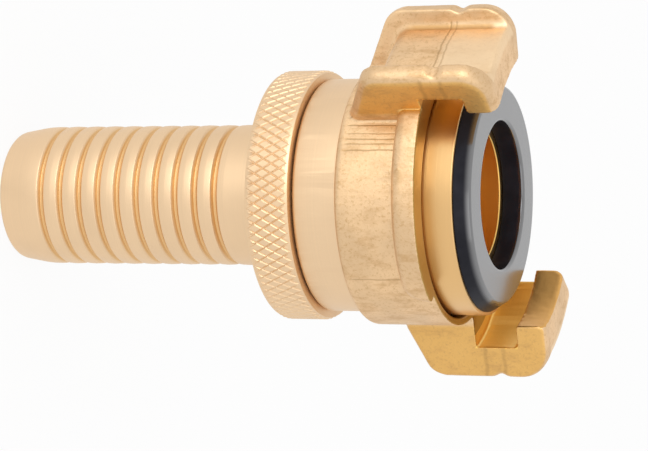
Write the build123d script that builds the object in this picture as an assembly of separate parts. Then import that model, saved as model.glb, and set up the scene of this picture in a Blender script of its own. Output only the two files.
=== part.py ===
from build123d import *
import os
from math import atan2, cos, degrees, hypot, pi, radians, sin, tan

# Quarter turn hose coupling in brass, with a grooved tail for a 19 mm hose and claws 40 mm apart.
# The coupling axis is Z. Z = 0 is the tail's end face and the claws point up.
# Millimetres. Angles are in degrees about Z, anticlockwise from +X.

# ---- hose tail: shank, neck and waterway ------------------------------------------------------
SHANK_R = 10.3             # over the lands between the grooves
SHANK_END_R = 9.6          # at the coned lead-in
SHANK_LENGTH = 42.4        # tail's end to the neck that carries the ring
NECK_R = 10.5
NOSE_ROUND = 0.9
GROOVE_DEPTH = 0.45
GROOVE_WIDTH = 1.0
GROOVE_PITCH = 3.08
GROOVE_COUNT = 10
FIRST_GROOVE_Z = 7.3       # middle of the lowest groove
LAND_ROUND = 0.25          # edges of the lands
LEAD_IN_LENGTH = 5.0       # of the cone
WATERWAY_R = 7.9
MOUTH_R = 9.4              # waterway at the seal
MOUTH_DEPTH = 6.0          # of the wide part behind the seal's land
MOUTH_TAPER = 4.5

# ---- locking ring -------------------------------------------------------------------------------
RING_Z = 43.0              # rear face
RING_WIDTH = 6.4
RING_R = 18.1              # over the knurl
RING_CHAMFER = 0.4
KNURL_DEPTH = 0.28
KNURL_WIDTH = 0.8          # of a groove at the surface
KNURL_COUNT = 60           # grooves each way
KNURL_ANGLE = 33.0         # of a groove from the axis
HUB_R = 14.92              # over the thread
HUB_LENGTH = 9.1
HUB_CHAMFER = 0.5
BORE_CHAMFER = 0.3
POCKET_R = 12.4            # rear recess, for the snap ring
POCKET_DEPTH = 2.3

# ---- snap ring ----------------------------------------------------------------------------------
WIRE_R = 0.7
WIRE_GAP = 34.0            # angle left open
WIRE_SINK = 0.5            # of the wire into the neck

# ---- seal cup, at the front of the tail ------------------------------------------------------------
CUP_R = 17.15
CUP_LENGTH = 6.6
CUP_FRONT_Z = 73.2
CUP_CHAMFER = 0.25
SHOULDER_R = 13.8          # stem between the ring's hub and the cup
SEAT_R = 15.5              # outer wall of the seal's groove
SEAT_DEPTH = 4.0
LAND_R = 12.0              # inner wall of the seal's groove
LAND_DROP = 1.1            # land's top below the cup's front

# ---- form seal ------------------------------------------------------------------------------------
SEAL_R = 16.75             # at the cup's rim
SEAL_FACE_R = 15.4
SEAL_STAND = 2.2           # of the face above the cup
SEAL_BORE_R = 10.5
SEAL_EDGE = 0.5            # rounding of the face's edges

# ---- claw head ------------------------------------------------------------------------------------
COLLAR_R = 16.83
COLLAR_LENGTH = 6.8
COLLAR_CHAMFER = 0.3
BAND_R = 18.65
BAND_ROUND = 0.9
FACE_Z = 69.1              # machined front face
RECESS_R = 17.55           # round the cup
RECESS_ROOM = 5.7          # behind the cup, for the head's travel
RECESS_CHAMFER = 0.25
FLANGE_R = 21.1
FLANGE_THICKNESS = 3.7
FLANGE_SPAN = 82.3         # from the claw's end to the tip of its lead-in
LEAD_ROUND = 3.4           # back of the lead-in
TIP_ROUND = 1.6            # outer corner of the lead-in
CLAW_SPAN = 38.3           # angle over a claw
CLAW_SPACING = 40.0        # between the lips, across the axis
CLAW_R = 28.2              # over the ribs
SLOT_WIDTH = 6.3           # of the hook, along the axis
SLOT_R = 23.4              # floor of the hook
LIP_THICKNESS = 4.4
LIP_ROUND = 4.3            # outer front edge of the claw
CLAW_FOOT_Z = 57.6         # where the sloping back meets the band
BACK_SLOPE = 65.0          # of the back, from the axis
BACK_ROUND = 3.2
CORNER_ROUND = 1.6         # long outer edges of the ribs
WEB_R = 25.5               # floor of the hollow between the ribs
WEB_SET_BACK = 3.1         # back of the hollow's floor from the ribs' back
RIB_ANGLE = 5.6            # of a rib, at its top
RIB_DRAFT = 4.0            # of a rib's inner side
WEB_BEND = 2.0             # where the hollow's floor turns down to the back
HOLLOW_ROUND = 0.9         # along the foot of the ribs' inner sides
SLOT_CORNER = 0.6
PARTING_Z = 72.3
PARTING_WIDTH = 2.6
PARTING_DEPTH = 0.5

# ---- clearances ------------------------------------------------------------------------------------
RUN_FIT = 0.08             # radial, between turned pieces
END_GAP = 0.2              # between faces that meet when the ring is tight
SEAL_GAP = 0.1             # between the seal's root and its groove

# ---- places that follow ----------------------------------------------------------------------------
ring_front = RING_Z + RING_WIDTH
hub_front = ring_front + HUB_LENGTH
collar_z = ring_front + END_GAP
band_z = collar_z + COLLAR_LENGTH
shoulder_z = hub_front + END_GAP
cup_z = CUP_FRONT_Z - CUP_LENGTH
recess_z = cup_z - RECESS_ROOM
land_z = CUP_FRONT_Z - LAND_DROP
pocket_floor = RING_Z + POCKET_DEPTH
wire_z = pocket_floor - WIRE_R - RUN_FIT
wire_mid_r = NECK_R + WIRE_R - WIRE_SINK
lip_r = CLAW_SPACING / 2
lip_z = FACE_Z + SLOT_WIDTH
claw_top = lip_z + LIP_THICKNESS
root_r = (RECESS_R + BAND_R) / 2

def turned(outline, angle=360.0, start=0.0):
    """Solid of revolution about Z, from a closed line of (radius, height) in the XZ plane."""
    face = make_face(Plane.XZ * outline)
    return Rot(0, 0, start) * revolve(face, Axis.Z, angle)


def shank_groove(z):
    """Round-bottomed groove of the shank, as a ring of circular section."""
    half = GROOVE_WIDTH / 2
    r = (half ** 2 + GROOVE_DEPTH ** 2) / (2 * GROOVE_DEPTH)
    return Pos(0, 0, z) * Torus(SHANK_R - GROOVE_DEPTH + r, r)


def hose_tail():
    """Grooved shank, neck, shoulder and seal cup, turned from one bar."""
    wire_low = wire_z - WIRE_R - RUN_FIT
    wire_high = wire_z + WIRE_R + RUN_FIT
    wire_floor = wire_mid_r - WIRE_R - RUN_FIT
    outline = Polyline(
        (WATERWAY_R, 0),
        (SHANK_END_R, 0),
        (SHANK_R, LEAD_IN_LENGTH),
        (SHANK_R, SHANK_LENGTH),
        (NECK_R, SHANK_LENGTH),
        (NECK_R, wire_low),
        (wire_floor, wire_low),
        (wire_floor, wire_high),
        (NECK_R, wire_high),
        (NECK_R, shoulder_z),
        (SHOULDER_R, shoulder_z),
        (SHOULDER_R, cup_z),
        (CUP_R, cup_z),
        (CUP_R, CUP_FRONT_Z),
        (SEAT_R, CUP_FRONT_Z),
        (SEAT_R, CUP_FRONT_Z - SEAT_DEPTH),
        (LAND_R, CUP_FRONT_Z - SEAT_DEPTH),
        (LAND_R, land_z),
        (MOUTH_R, land_z),
        (MOUTH_R, land_z - MOUTH_DEPTH),
        (WATERWAY_R, land_z - MOUTH_DEPTH - MOUTH_TAPER),
        close=True,
    )
    body = turned(outline)
    nose = [e for e in body.edges().filter_by(GeomType.CIRCLE)
            if abs(e.center().Z) < 0.01 and abs(e.radius - SHANK_END_R) < 0.01]
    body = fillet(nose, NOSE_ROUND)
    rims = [e for e in body.edges().filter_by(GeomType.CIRCLE) if abs(e.radius - CUP_R) < 0.01]
    body = chamfer(rims, CUP_CHAMFER)
    grooves = [shank_groove(FIRST_GROOVE_Z + i * GROOVE_PITCH) for i in range(GROOVE_COUNT)]
    body = body - grooves
    lands = [e for e in body.edges().filter_by(GeomType.CIRCLE)
             if abs(e.radius - SHANK_R) < 0.01 and LEAD_IN_LENGTH + 0.1 < e.center().Z < SHANK_LENGTH - 0.1]
    return fillet(lands, LAND_ROUND)


def form_seal():
    """Rubber seal: coned head on the cup's rim and a root down in the cup's groove."""
    face_z = CUP_FRONT_Z + SEAL_STAND
    outline = Polyline(
        (SEAL_BORE_R, land_z),
        (LAND_R + SEAL_GAP, land_z),
        (LAND_R + SEAL_GAP, CUP_FRONT_Z - SEAT_DEPTH),
        (SEAT_R - SEAL_GAP, CUP_FRONT_Z - SEAT_DEPTH),
        (SEAT_R - SEAL_GAP, CUP_FRONT_Z),
        (SEAL_R, CUP_FRONT_Z),
        (SEAL_FACE_R, face_z),
        (SEAL_BORE_R, face_z),
        close=True,
    )
    body = turned(outline)
    rims = [e for e in body.edges().filter_by(GeomType.CIRCLE) if abs(e.center().Z - face_z) < 0.01]
    return fillet(rims, SEAL_EDGE)


def knurl_groove(hand):
    """One V-shaped knurl groove, leaning to the given hand, as a straight cutter at +X."""
    reach = RING_WIDTH / cos(radians(KNURL_ANGLE)) + 2
    flare = 2 * KNURL_DEPTH
    top = KNURL_WIDTH / 2 * (KNURL_DEPTH + flare) / KNURL_DEPTH
    vee = Polyline((RING_R - KNURL_DEPTH, 0), (RING_R + flare, top), (RING_R + flare, -top), close=True)
    bar = extrude(make_face(vee), reach / 2, both=True)
    return Pos(0, 0, RING_Z + RING_WIDTH / 2) * Rot(hand * KNURL_ANGLE, 0, 0) * bar


def locking_ring():
    """Knurled ring with a thread hub in front and the snap ring's recess behind."""
    bore_r = NECK_R + RUN_FIT
    outline = Polyline(
        (POCKET_R, RING_Z),
        (RING_R, RING_Z),
        (RING_R, ring_front),
        (HUB_R, ring_front),
        (HUB_R, hub_front),
        (bore_r, hub_front),
        (bore_r, pocket_floor),
        (POCKET_R, pocket_floor),
        close=True,
    )
    body = turned(outline)
    rims = [e for e in body.edges().filter_by(GeomType.CIRCLE) if abs(e.radius - RING_R) < 0.01]
    body = chamfer(rims, RING_CHAMFER)
    tip = [e for e in body.edges().filter_by(GeomType.CIRCLE)
           if abs(e.radius - HUB_R) < 0.01 and abs(e.center().Z - hub_front) < 0.01]
    body = chamfer(tip, HUB_CHAMFER)
    mouths = [e for e in body.edges().filter_by(GeomType.CIRCLE)
              if abs(e.radius - bore_r) < 0.01 or abs(e.radius - POCKET_R) + abs(e.center().Z - RING_Z) < 0.01]
    body = chamfer(mouths, BORE_CHAMFER)
    for hand in (-1, 1):
        cutter = knurl_groove(hand)
        body = body - [Rot(0, 0, i * 360 / KNURL_COUNT) * cutter for i in range(KNURL_COUNT)]
    return body


def snap_ring():
    """Open ring of round wire, lying in the neck's groove."""
    wire = Plane.XZ * Pos(wire_mid_r, wire_z) * Circle(WIRE_R)
    return Rot(0, 0, WIRE_GAP / 2) * revolve(wire, Axis.Z, 360 - WIRE_GAP)


def claw_blank():
    """One claw before its hollow is cut: foot, wall, hook slot and lip, centred on +X."""
    rise = tan(radians(BACK_SLOPE))
    back_top_z = CLAW_FOOT_Z + (CLAW_R - BAND_R) / rise
    outline = Polyline(
        (root_r, CLAW_FOOT_Z - (BAND_R - root_r) / rise),
        (CLAW_R, back_top_z),
        (CLAW_R, claw_top),
        (lip_r, claw_top),
        (lip_r, lip_z),
        (SLOT_R, lip_z),
        (SLOT_R, FACE_Z),
        (root_r, FACE_Z),
        close=True,
    )
    face = make_face(outline)
    knee = face.vertices().sort_by_distance((CLAW_R, back_top_z, 0))[0]
    face = fillet(knee, BACK_ROUND)
    brow = face.vertices().sort_by_distance((CLAW_R, claw_top, 0))[0]
    face = fillet(brow, LIP_ROUND)
    corner = face.vertices().sort_by_distance((SLOT_R, lip_z, 0))[0]
    face = fillet(corner, SLOT_CORNER)
    body = Rot(0, 0, -CLAW_SPAN / 2) * revolve(Plane.XZ * face, Axis.Z, CLAW_SPAN)
    return fillet(outer_rim(body), CORNER_ROUND)


def outer_rim(body):
    """Edges round the outside of a claw's two end faces, from the foot to the lip."""
    rim = []
    for edge in body.edges():
        ends = [edge.position_at(t) for t in (0, 0.5, 1)]
        angles = [degrees(atan2(p.Y, p.X)) for p in ends]
        if max(abs(abs(a) - CLAW_SPAN / 2) for a in angles) > 0.01:
            continue
        middle = ends[1]
        r = hypot(middle.X, middle.Y)
        if r > SLOT_R + 0.3 or middle.Z > claw_top - 0.01 or middle.Z < FACE_Z - FLANGE_THICKNESS:
            if r > root_r + 0.1:
                rim.append(edge)
    return rim


def claw_hollow():
    """Hollow of one claw between its ribs, open to the front, the outside and the back."""
    rise = tan(radians(BACK_SLOPE))
    back = CLAW_FOOT_Z + WEB_SET_BACK
    web_z = back + (WEB_R - BAND_R) / rise
    out = CLAW_R + 4
    outline = Polyline(
        (BAND_R, back),
        (WEB_R, web_z),
        (WEB_R, claw_top + 1),
        (out, claw_top + 1),
        (out, CLAW_FOOT_Z - 4),
        (BAND_R, CLAW_FOOT_Z - 4),
        close=True,
    )
    face = make_face(outline)
    bend = face.vertices().sort_by_distance((WEB_R, web_z, 0))[0]
    face = fillet(bend, WEB_BEND)
    body = Rot(0, 0, -CLAW_SPAN / 2) * revolve(Plane.XZ * face, Axis.Z, CLAW_SPAN)
    half = CLAW_SPAN / 2 - RIB_ANGLE
    top_x = CLAW_R * cos(radians(half))
    top_y = CLAW_R * sin(radians(half))
    lean = tan(radians(half + RIB_DRAFT))
    low = BAND_R - 2
    low_y = top_y - (top_x - low) * lean
    high_y = top_y + (out - top_x) * lean
    wedge = Polyline((low, low_y), (out, high_y), (out, -high_y), (low, -low_y), close=True)
    sides = Pos(0, 0, CLAW_FOOT_Z - 5) * extrude(make_face(wedge), claw_top - CLAW_FOOT_Z + 8)
    body = body & sides
    return fillet(floor_rim(body), HOLLOW_ROUND)


def floor_rim(body):
    """Edges where the hollow's sides meet its floor."""
    rim = []
    for edge in body.edges():
        ends = [edge.position_at(t) for t in (0, 0.5, 1)]
        radii = [hypot(p.X, p.Y) for p in ends]
        along = abs(ends[2].Z - ends[0].Z) > 0.2
        if along and min(radii) > BAND_R + 0.05 and max(radii) < CLAW_R - 1:
            rim.append(edge)
        elif along and abs(radii[0] - radii[2]) > 3 and max(radii) < CLAW_R - 1:
            rim.append(edge)
    return rim


def cam_flange():
    """One cam flange, from the end of the claw at +X to its rounded lead-in."""
    start = CLAW_SPAN / 2 - 1
    back_z = FACE_Z - FLANGE_THICKNESS
    outline = Polyline(
        (root_r, back_z),
        (FLANGE_R, back_z),
        (FLANGE_R, FACE_Z),
        (root_r, FACE_Z),
        close=True,
    )
    body = turned(outline, FLANGE_SPAN + 1, start)
    tip = radians(CLAW_SPAN / 2 + FLANGE_SPAN)
    mid_r = (root_r + FLANGE_R) / 2
    lead = body.edges().sort_by_distance((mid_r * cos(tip), mid_r * sin(tip), back_z))[0]
    body = fillet(lead, LEAD_ROUND)
    corner = body.edges().sort_by_distance((FLANGE_R * cos(tip), FLANGE_R * sin(tip), FACE_Z - 0.15))[0]
    wall = FLANGE_R - root_r
    return fillet(corner, min(TIP_ROUND, 0.8 * wall))


def parting_groove():
    """V-shaped mark of the dies' parting line round the claws' ribs."""
    half = PARTING_WIDTH / 2
    outline = Polyline(
        (CLAW_R - PARTING_DEPTH, PARTING_Z),
        (CLAW_R + 1, PARTING_Z + half * (1 + 1 / PARTING_DEPTH)),
        (CLAW_R + 1, PARTING_Z - half * (1 + 1 / PARTING_DEPTH)),
        close=True,
    )
    return turned(outline)


def claw_head():
    """Forged head: collar, band, cam flanges and claws round one machined bore."""
    outline = Polyline(
        (HUB_R + RUN_FIT, collar_z),
        (COLLAR_R, collar_z),
        (COLLAR_R, band_z),
        (BAND_R, band_z),
        (BAND_R, FACE_Z),
        (RECESS_R, FACE_Z),
        (RECESS_R, recess_z),
        (HUB_R + RUN_FIT, recess_z),
        close=True,
    )
    body = turned(outline)
    shoulder = [e for e in body.edges().filter_by(GeomType.CIRCLE)
                if abs(e.radius - BAND_R) < 0.01 and abs(e.center().Z - band_z) < 0.01]
    body = fillet(shoulder, BAND_ROUND)
    heel = [e for e in body.edges().filter_by(GeomType.CIRCLE)
            if abs(e.radius - COLLAR_R) < 0.01 and abs(e.center().Z - collar_z) < 0.01]
    body = chamfer(heel, COLLAR_CHAMFER)
    mouth = [e for e in body.edges().filter_by(GeomType.CIRCLE)
             if abs(e.radius - RECESS_R) < 0.01 and abs(e.center().Z - FACE_Z) < 0.01]
    body = chamfer(mouth, RECESS_CHAMFER)
    claw = claw_blank() - claw_hollow()
    for turn in (0, 180):
        body = body + Rot(0, 0, turn) * claw
        body = body + Rot(0, 0, turn) * cam_flange()
    return body - parting_groove()


PIECES = {
    "hose_tail": hose_tail,
    "form_seal": form_seal,
    "locking_ring": locking_ring,
    "snap_ring": snap_ring,
    "claw_head": claw_head,
}

os.makedirs("parts", exist_ok=True)
for name, make in PIECES.items():
    solid = make()
    solid.label = name
    export_step(solid, f"parts/{name}.step")
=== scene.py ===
"""Looks of a quarter turn hose coupling in brass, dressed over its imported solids."""
import math

import bmesh
import bpy
import numpy as np
from bpy.props import FloatProperty, FloatVectorProperty, IntProperty, PointerProperty
from bpy.types import Operator, Panel, PropertyGroup
from mathutils import Matrix, Vector


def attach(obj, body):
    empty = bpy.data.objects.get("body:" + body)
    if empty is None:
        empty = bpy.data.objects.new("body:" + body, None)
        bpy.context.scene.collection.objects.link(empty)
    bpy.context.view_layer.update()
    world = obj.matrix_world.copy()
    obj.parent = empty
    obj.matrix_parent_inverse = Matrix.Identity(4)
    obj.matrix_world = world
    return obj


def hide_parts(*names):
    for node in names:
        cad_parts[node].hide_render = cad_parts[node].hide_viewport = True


bl_info = {
    "name": "Claw hose coupling",
    "version": (1, 0, 0),
    "blender": (4, 5, 0),
    "location": "View3D > Sidebar > Coupling",
    "description": "Turned tail, knurled ring, forged claw head and seal of a hose coupling",
    "category": "Add Mesh",
}

MM = 0.001
TOWARDS = Vector((-0.6094, -0.7929, 0.0))    # level, from the axis to the camera
ABOVE = Vector((-0.7929, 0.6094, 0.0))       # level, square to TOWARDS
AXIS = Vector((0.0, 0.0, 1.0))
WHITE = (1.0, 1.0, 1.0, 1.0)
LATHE_SEGMENTS = 288
HEAD_TRIANGLES = 170000

# Marks on the band beside each claw: degrees from the claw's middle, and strength.
DIE_MARKS = (
    (17.65, 0.5), (21.35, 0.6), (25.35, 0.4), (27.95, 0.55), (30.15, 0.5), (33.15, 0.6), (91.6, 0.45),
)

# Growth of a cam flange in millimetres, at degrees from its claw's middle.
FLANGE_GROWTH = ((18, 0), (21, 0.6), (55, 0.15), (80, 0), (104, -0.9), (110, 0))

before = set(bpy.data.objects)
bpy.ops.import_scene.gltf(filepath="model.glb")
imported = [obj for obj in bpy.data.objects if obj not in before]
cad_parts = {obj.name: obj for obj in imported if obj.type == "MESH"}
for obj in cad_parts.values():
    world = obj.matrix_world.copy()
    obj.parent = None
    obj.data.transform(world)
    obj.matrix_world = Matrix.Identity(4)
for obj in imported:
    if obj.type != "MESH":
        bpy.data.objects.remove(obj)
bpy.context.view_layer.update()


# ---- node graphs -----------------------------------------

def arithmetic(operation, swapped=False):
    """A method for arithmetic on a socket, which adds one Math node."""
    def method(self, other):
        pair = (other, self) if swapped else (self, other)
        return self.graph.node("ShaderNodeMath", {"operation": operation}, dict(enumerate(pair)))
    return method


class Sock:
    """An output socket that takes part in arithmetic, each step one Math node."""

    def __init__(self, graph, socket):
        self.graph = graph
        self.socket = socket

    def math(self, operation, *others):
        values = dict(enumerate([self, *others]))
        return self.graph.node("ShaderNodeMath", {"operation": operation}, values)

    def out(self, name):
        """Another output of the same node."""
        return Sock(self.graph, self.socket.node.outputs[name])

    def __neg__(self):
        return self * -1.0

    __add__, __radd__ = arithmetic("ADD"), arithmetic("ADD", True)
    __sub__, __rsub__ = arithmetic("SUBTRACT"), arithmetic("SUBTRACT", True)
    __mul__, __rmul__ = arithmetic("MULTIPLY"), arithmetic("MULTIPLY", True)
    __truediv__, __rtruediv__ = arithmetic("DIVIDE"), arithmetic("DIVIDE", True)


class Graph:
    """Adds nodes to one shader or geometry tree."""

    def __init__(self, tree):
        self.tree = tree

    def node(self, kind, settings=None, inputs=None):
        """One node: its settings first, then the values or links of its sockets."""
        made = self.tree.nodes.new(kind)
        for name, value in (settings or {}).items():
            setattr(made, name, value)
        for key, value in (inputs or {}).items():
            if isinstance(value, Sock):
                self.tree.links.new(value.socket, made.inputs[key])
            else:
                made.inputs[key].default_value = value
        return Sock(self, made.outputs[0]) if made.outputs else made

    def xyz(self, vector):
        """The three parts of a vector."""
        parts = self.node("ShaderNodeSeparateXYZ", {}, {0: vector})
        return parts.out("X"), parts.out("Y"), parts.out("Z")

    def vector(self, x, y, z):
        return self.node("ShaderNodeCombineXYZ", {}, {"X": x, "Y": y, "Z": z})

    def ramp(self, value, low, high, to_low=0.0, to_high=1.0):
        """Smooth step of a value from low to high."""
        inputs = {"Value": value, "From Min": low, "From Max": high}
        inputs.update({"To Min": to_low, "To Max": to_high})
        return self.node("ShaderNodeMapRange", {"interpolation_type": "SMOOTHSTEP"}, inputs)

    def above(self, value, edge, blur, strength=1.0):
        """The strength where a value is over an edge and nothing under it, blurred each way."""
        return self.ramp(value, edge - blur, edge + blur, 0.0, strength)

    def below(self, value, edge, blur, strength=1.0):
        return self.ramp(value, edge - blur, edge + blur, strength, 0.0)

    def near(self, value, middle, inner, outer, strength=1.0):
        """The strength within a distance of a middle, and nothing from the outer distance on."""
        return self.ramp((value - middle).math("ABSOLUTE"), inner, outer, strength, 0.0)

    def place(self):
        """The place on the piece, its three parts, its radius and its turn from the nearer claw."""
        place = self.node("ShaderNodeTexCoord", {}, {}).out("Object")
        x, y, z = self.xyz(place)
        r = (x * x + y * y).math("SQRT")
        turn = y.math("ARCTAN2", x.math("ABSOLUTE")).math("ABSOLUTE")
        return place, x, y, z, r, turn

    def noise(self, vector, scale, detail, rough):
        inputs = {"Vector": vector, "Scale": scale, "Detail": detail, "Roughness": rough}
        return self.node("ShaderNodeTexNoise", {"noise_dimensions": "3D"}, inputs)

    def mix(self, factor, first, second):
        """Mix of two colours."""
        made = self.node("ShaderNodeMix", {"data_type": "RGBA"}, {0: factor})
        for key, colour in ((6, first), (7, second)):
            if isinstance(colour, Sock):
                self.tree.links.new(colour.socket, made.socket.node.inputs[key])
            else:
                made.socket.node.inputs[key].default_value = (*colour[:3], 1.0)
        return Sock(self, made.socket.node.outputs[2])


# ---- sizes and colours -----------------------------------

def length(name, description, default):
    """A length in millimetres, kept in metres."""
    return FloatProperty(
        name=name, description=description, default=default * MM, unit="LENGTH", precision=5
    )


def angle(name, description, default):
    """An angle in degrees, kept in radians."""
    return FloatProperty(
        name=name, description=description, default=math.radians(default), subtype="ANGLE"
    )


def colour(name, description, default):
    return FloatVectorProperty(
        name=name, description=description, default=default, subtype="COLOR", size=3, min=0.0, max=1.0
    )


class CouplingTailSizes(PropertyGroup):
    shank_r: length("Shank radius", "Over the lands between the grooves", 10.3)
    end_r: length("End radius", "At the tail's coned end", 9.45)
    end_round: length("End rounding", "Of the tail's end", 1.1)
    cone: length("Cone length", "Length of the coned lead-in", 5.0)
    cone_round: length("Cone rounding", "Between the cone and the shank", 14.0)
    shank: length("Shank length", "From the tail's end to the neck", 42.4)
    neck_r: length("Neck radius", "Of the neck that carries the ring", 10.5)
    bore_r: length("Waterway radius", "Of the bore for the water", 7.9)
    mouth_r: length("Mouth radius", "Of the waterway at the seal", 9.4)
    mouth_depth: length("Mouth depth", "Straight part of the mouth", 6.0)
    mouth_taper: length("Mouth taper", "From the mouth down to the waterway", 4.5)
    seat_r: length("Seat radius", "Outer wall of the seal's groove", 15.5)
    seat_depth: length("Seat depth", "Of the seal's groove", 4.0)
    land_r: length("Land radius", "Inner wall of the seal's groove", 12.0)
    land_z: length("Land height", "Top of the land inside the seal's groove", 72.1)
    wire_z: length("Wire height", "Middle of the snap ring's groove", 44.52)
    wire_half: length("Wire groove", "Half the width of the snap ring's groove", 0.78)
    wire_floor: length("Wire groove radius", "Floor of the snap ring's groove", 9.92)
    groove_depth: length("Groove depth", "Of a groove of the shank", 0.6)
    groove_width: length("Groove width", "Of a groove of the shank", 1.1)
    groove_pitch: length("Groove pitch", "From one groove to the next", 3.08)
    groove_first: length("First groove", "Height of the lowest groove's middle", 7.3)
    land_crown: length("Land crown", "Fall of a land from its middle to its edges", 0.06)
    groove_count: IntProperty(name="Grooves", description="Grooves round the shank", default=10, min=0)
    cup_r: length("Cup radius", "Outside of the seal cup", 17.15)
    cup_z: length("Cup height", "Rear face of the seal cup", 66.6)
    cup_front: length("Cup front", "Front rim of the seal cup", 73.2)
    shoulder_r: length("Shoulder radius", "Stem between the hub and the cup", 13.8)
    shoulder_z: length("Shoulder height", "Step in front of the hub", 58.7)
    edge: length("Edge", "Rounding left by deburring", 0.1)


class CouplingSealSizes(PropertyGroup):
    rim_r: length("Rim radius", "Where the seal lies on the cup", 16.75)
    face_r: length("Face radius", "Outer edge of the sealing face", 15.4)
    bore_r: length("Bore radius", "Through the seal", 10.5)
    gloss_depth: length("Gloss depth", "From the face down to where the gloss fades", 0.55)
    stand: length("Stand", "Face above the cup's rim", 2.2)
    root_out: length("Root outside", "Outer radius of the root", 15.4)
    root_in: length("Root inside", "Inner radius of the root", 12.1)
    root_z: length("Root height", "Bottom of the root", 69.2)
    land_z: length("Land height", "Bottom of the seal's flap", 72.1)
    edge: length("Edge", "Rounding of the moulded edges", 0.5)


class CouplingRingSizes(PropertyGroup):
    ring_r: length("Ring radius", "Over the knurl", 18.1)
    rear: length("Rear face", "Height of the ring's rear face", 43.0)
    width: length("Ring width", "Width of the knurled ring", 6.4)
    edge: length("Edge", "Rounding left by deburring", 0.1)
    chamfer: length("Chamfer", "Of the ring's two rims", 0.4)
    hub_r: length("Hub radius", "Over the thread", 14.92)
    hub_front: length("Hub front", "Front face of the hub", 58.5)
    bore_r: length("Bore radius", "Running on the neck", 10.58)
    pocket_r: length("Pocket radius", "Rear recess for the snap ring", 12.4)
    pocket: length("Pocket depth", "Rear recess for the snap ring", 2.3)
    knurl_depth: length("Knurl depth", "Height of a diamond", 0.17)
    knurl_top: FloatProperty(
        name="Knurl top", description="Share of a diamond that is flat", default=0.6, min=0.05
    )
    knurl_count: IntProperty(
        name="Knurl count", description="Grooves each way round", default=80, min=12
    )
    knurl_angle: angle("Knurl angle", "Of a groove from the axis", 30)
    thread_pitch: length("Thread pitch", "Of the hub's thread", 1.5)
    thread_depth: length("Thread depth", "From crest to root", 0.85)


class CouplingHeadSizes(PropertyGroup):
    grain: length("Grain", "Mesh size that the forging is made at", 0.2)
    soft_steps: IntProperty(
        name="Softening", description="Rounding steps of the forged edges", default=5, min=0
    )
    dent: length("Dent depth", "Unevenness of the forged skin", 0.09)
    dent_size: length("Dent size", "Width of a dent in the forged skin", 2.6)
    crest_r: length("Crest radius", "Over the ribs of the claws", 28.2)
    parting_z: length("Parting height", "Where the dies met", 72.3)
    parting: length("Parting width", "Of the mark that the dies left", 2.6)
    parting_depth: length("Parting depth", "Added to the mark that the dies left", 0.125)
    web_r: length("Web radius", "Of the hollow between the ribs", 25.5)
    rib_foot: length("Rib foot", "From a claw's middle to the foot of a rib", 5.5)
    face_z: length("Face height", "Machined front face", 69.1)
    lip_z: length("Lip height", "Front wall of the hook slots", 75.4)
    lip_r: length("Lip radius", "Inside of the lips", 20.0)
    slot_r: length("Slot radius", "Floor of the hook slots", 23.4)
    top_z: length("Top height", "Front of the claws", 79.8)
    lip_round: length("Lip rounding", "Outer front edge of a claw", 4.3)
    foot_z: length("Foot height", "Where a claw's back meets the band", 57.6)
    back_slope: angle("Back slope", "Of a claw's back, from the axis", 65)
    back_round: length("Back rounding", "Between a claw's back and its crest", 3.2)
    corner: length("Corner", "Rounding of the ribs' long outer edges", 1.6)
    band_r: length("Band radius", "Of the forged band", 18.65)
    band_z: length("Band height", "Rear edge of the forged band", 56.4)
    flange_r: length("Flange radius", "Over the cam flanges", 21.1)
    flange_back: length("Flange back", "Rear face of the flanges, behind the front face", 4.1)
    claw_half: angle("Half claw", "Half of the angle over a claw", 19.15)


class CouplingFinishes(PropertyGroup):
    turned: colour("Turned brass", "Bar-turned surfaces", (0.87, 0.635, 0.40))
    forged: colour("Forged brass", "Blasted forging skin", (0.84, 0.59, 0.345))
    # Darker specks of the forging, and also the painted shade at the foot of each rib.
    stain: colour("Forging stain", "Darker specks of the forging", (0.56, 0.33, 0.13))
    # Painted reflection of the neighbouring brass inside the lips.
    lip: colour("Lips", "Brass inside the lips, warm with its neighbours", (0.76, 0.42, 0.13))
    # Paler tone on the front of each claw's web.
    fresh: colour("Fresh skin", "Paler skin on the front half of the forging", (0.98, 0.76, 0.50))
    cut: colour("Cut brass", "Machined faces of the forging", (0.95, 0.60, 0.17))
    # Painted shade in the shank's grooves and on the seal cup, a darker copy of the brass.
    groove: colour("Grooves", "Brass in the shank's grooves", (0.78, 0.48, 0.19))
    # Painted shade and reflection of the neighbouring brass on the claws' end faces.
    sheared: colour("Sheared ends", "Claws' end faces, where flash was trimmed", (0.80, 0.47, 0.13))
    # Painted light and warm reflections inside the waterway, brighter than its brass.
    bore: colour("Bore", "Brass inside the waterway", (1.0, 0.62, 0.18))
    rubber: colour("Rubber", "The form seal", (0.010, 0.010, 0.014))
    wire: colour("Spring wire", "The snap ring", (0.56, 0.55, 0.53))


class CouplingStage(PropertyGroup):
    lens: FloatProperty(
        name="Lens", description="Focal length of the camera", default=148.8, unit="CAMERA"
    )
    floor: colour("Floor", "The floor the coupling stands on", (0.86, 0.86, 0.86))
    world: FloatProperty(
        name="World", description="Strength of the surrounding light", default=0.92, min=0.0
    )
    key: FloatProperty(name="Key lamp", description="Power of the large lamp", default=1.25, min=0.0)
    fill: FloatProperty(name="Fill lamp", description="Power of the second lamp", default=0.4, min=0.0)


# ---- materials -------------------------------------------

def new_material(name):
    """A node material with one Principled shader, and its graph and shader node."""
    material = bpy.data.materials.new(name)
    material.use_nodes = True
    shader = material.node_tree.nodes["Principled BSDF"]
    return material, Graph(material.node_tree), shader


def wire_up(graph, shader, values):
    """Links or sets the shader's sockets."""
    for name, value in values.items():
        if isinstance(value, Sock):
            graph.tree.links.new(value.socket, shader.inputs[name])
        else:
            shader.inputs[name].default_value = value


def bump(graph, height, distance):
    return graph.node("ShaderNodeBump", {}, {"Height": height, "Distance": distance, "Strength": 1.0})


def shade_of(colour_value, share):
    return tuple(part * share for part in colour_value)


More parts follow.
